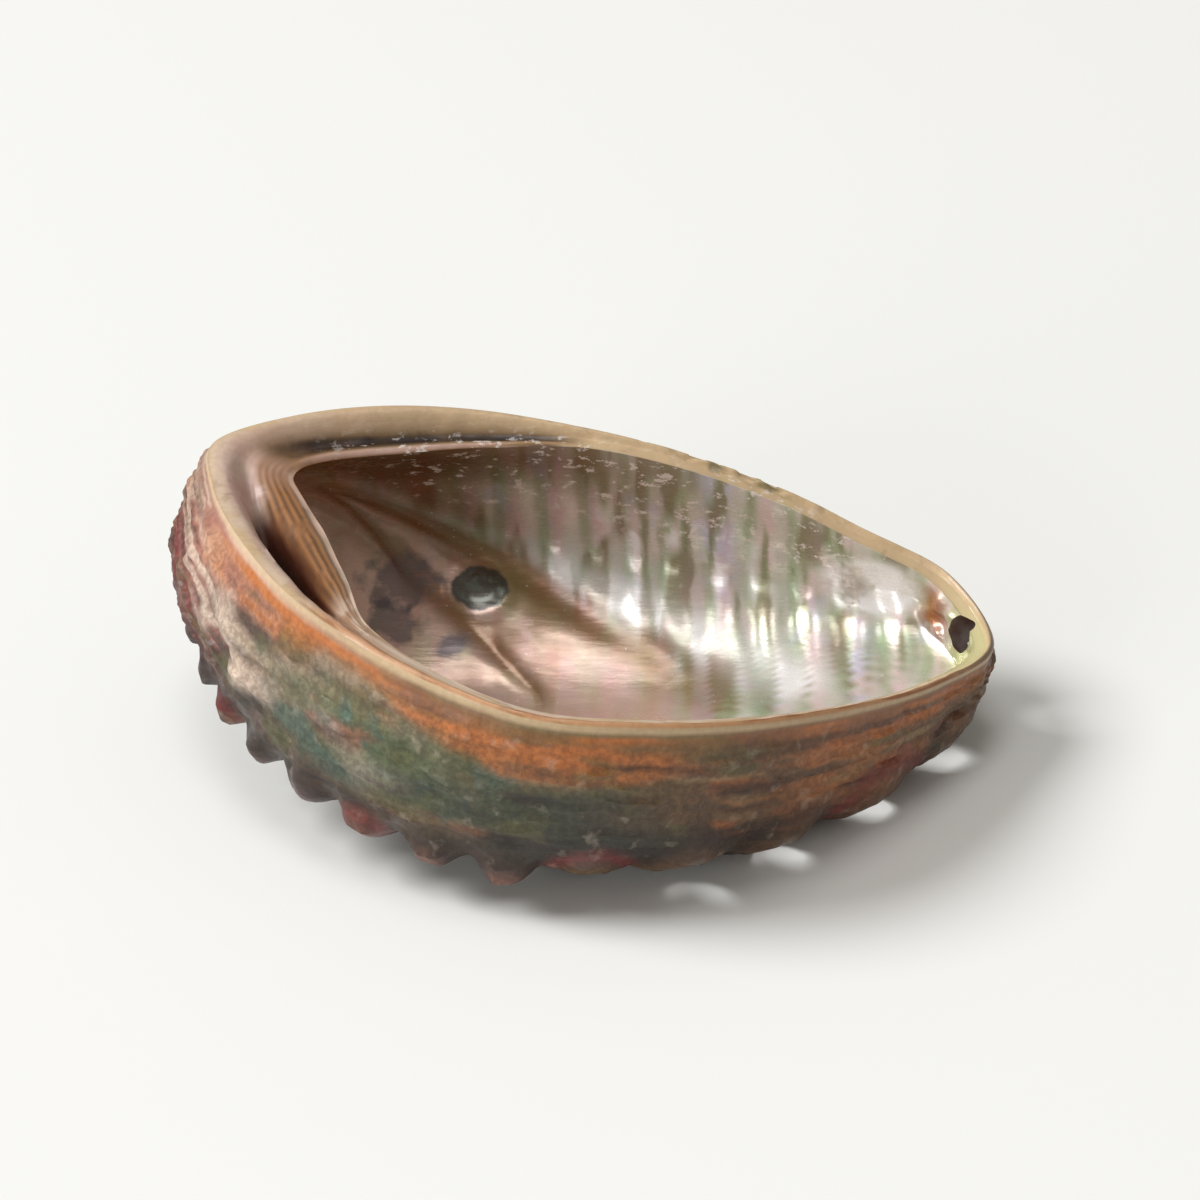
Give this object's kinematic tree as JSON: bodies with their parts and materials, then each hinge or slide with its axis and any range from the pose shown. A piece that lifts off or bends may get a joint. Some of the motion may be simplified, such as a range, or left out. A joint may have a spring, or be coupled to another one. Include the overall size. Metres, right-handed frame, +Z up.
{
  "type": "abalone shell",
  "caption": "Small abalone shell lying on its back: a deep oval bowl with a low coiled spire, a hollow beside the inner lip and a curved row of breathing holes.",
  "frame": {"origin": "middle of the shell's plan, on the plane that the worn spots of the back rest on", "axes": "+Z up out of the opening, +X towards the front tip where the newest hole is, +Y towards the free outer lip"},
  "size_m": [0.0888, 0.0592, 0.0315],
  "materials": {
    "shell": "satin nacre inside, rough ribbed outside"
  },
  "bodies": {
    "root": {"shell": "shell"}
  },
  "joints": []
}
